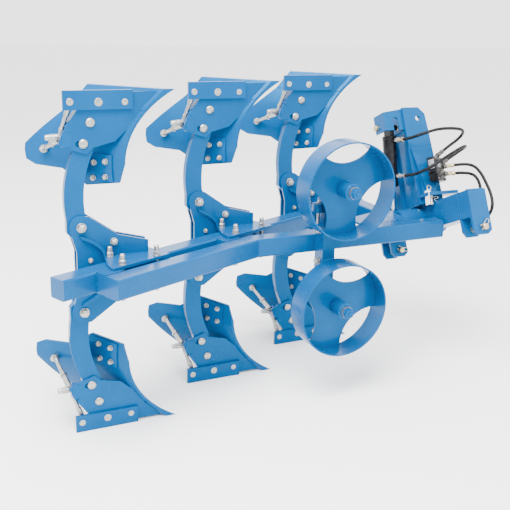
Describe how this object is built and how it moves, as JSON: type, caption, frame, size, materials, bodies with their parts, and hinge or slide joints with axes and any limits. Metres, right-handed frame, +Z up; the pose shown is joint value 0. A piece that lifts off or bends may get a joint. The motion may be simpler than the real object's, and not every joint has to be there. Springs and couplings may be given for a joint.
{
  "type": "moldboard plough",
  "caption": "Reversible mounted moldboard plough with paired upper and lower bodies on a slanting beam, twin depth wheels and a turnover headstock.",
  "frame": {"origin": "on the ground under the middle of the steelwork's box (hoses left out), as parked", "axes": "+X is the way the plough travels, +Y its left, +Z up"},
  "size_m": [2.1106, 1.0784, 1.36],
  "materials": {
    "black_paint": "black paint",
    "blue_paint": "gloss blue enamel over steel",
    "chrome_rod": "polished hard chrome",
    "hose_rubber": "smooth black hose cover",
    "zinc": "bright zinc plating",
    "zinc_yellow": "yellow zinc plating"
  },
  "bodies": {
    "frame": {"back_beam": "blue_paint", "beam_end_caps": "blue_paint", "clamp_studs": "zinc", "corner_gussets": "blue_paint", "crank_pins": "zinc_yellow", "frogs_front": "blue_paint", "frogs_middle": "blue_paint", "frogs_rear": "blue_paint", "front_beam": "blue_paint", "front_cross_tube": "blue_paint", "landsides_front": "blue_paint", "landsides_middle": "blue_paint", "landsides_rear": "blue_paint", "leg_bracket_front": "blue_paint", "leg_bracket_middle": "blue_paint", "leg_bracket_rear": "blue_paint", "legs_front": "blue_paint", "legs_middle": "blue_paint", "legs_rear": "blue_paint", "moldboard_pads_front": "blue_paint", "moldboard_pads_middle": "blue_paint", "moldboard_pads_rear": "blue_paint", "moldboards_front": "blue_paint", "moldboards_middle": "blue_paint", "moldboards_rear": "blue_paint", "shares_front": "blue_paint", "shares_middle": "blue_paint", "shares_rear": "blue_paint", "slot_ends": "blue_paint", "stays_front": "zinc", "stays_middle": "zinc", "stays_rear": "zinc", "turnover_shaft": "blue_paint", "wheel_arms": "blue_paint", "wheel_axles": "zinc", "wheel_post": "blue_paint"},
    "headstock": {"coupler_holder": "blue_paint", "cylinder_bracket": "blue_paint", "cylinder_top_pin": "zinc_yellow", "hitch_clevises": "blue_paint", "hitch_crossbeam": "blue_paint", "hose_couplers": "zinc", "hose_cylinder_lower": "hose_rubber", "hose_cylinder_upper": "hose_rubber", "lock_pin": "zinc", "lock_plate": "blue_paint", "lower_link_pins": "zinc_yellow", "mast_plates": "blue_paint", "mast_stiffeners": "blue_paint", "mast_web": "blue_paint", "supply_hose_lower": "hose_rubber", "supply_hose_upper": "hose_rubber", "valve_block": "black_paint", "valve_fittings": "zinc"},
    "barrel": {"cylinder_barrel": "black_paint"},
    "rod": {"cylinder_rod": "chrome_rod"},
    "wheel_upper": {"depth_wheel_upper": "blue_paint"},
    "wheel_lower": {"depth_wheel_lower": "blue_paint"}
  },
  "joints": [
    {"name": "turnover", "type": "hinge", "parent": "frame", "child": "headstock", "pos_m": [0.86823, -0.03641, 0.68], "axis": [1, 0, 0], "range_deg": [-155, 25]},
    {"name": "barrel_swing", "type": "hinge", "parent": "headstock", "child": "barrel", "pos_m": [0.77023, 0.16222, 1.10597], "axis": [1, 0, 0], "range_deg": [-12.41, 2.01], "deforming": ["hose_cylinder_upper", "hose_cylinder_lower"]},
    {"name": "rod_slide", "type": "slide", "parent": "barrel", "child": "rod", "axis": [0, -0.2256, -0.9742], "range_m": [-0.09749, 0.01581]},
    {"name": "wheel_upper_spin", "type": "hinge", "parent": "frame", "child": "wheel_upper", "pos_m": [0.22323, -0.36741, 0.942], "axis": [0, 1, 0], "continuous": true},
    {"name": "wheel_lower_spin", "type": "hinge", "parent": "frame", "child": "wheel_lower", "pos_m": [0.22323, -0.36741, 0.418], "axis": [0, 1, 0], "continuous": true}
  ],
  "couplings": [
    {"joint": "barrel_swing", "follows": "turnover", "ratio": 0.08},
    {"joint": "rod_slide", "follows": "turnover", "m_per_rad": 0.036}
  ]
}
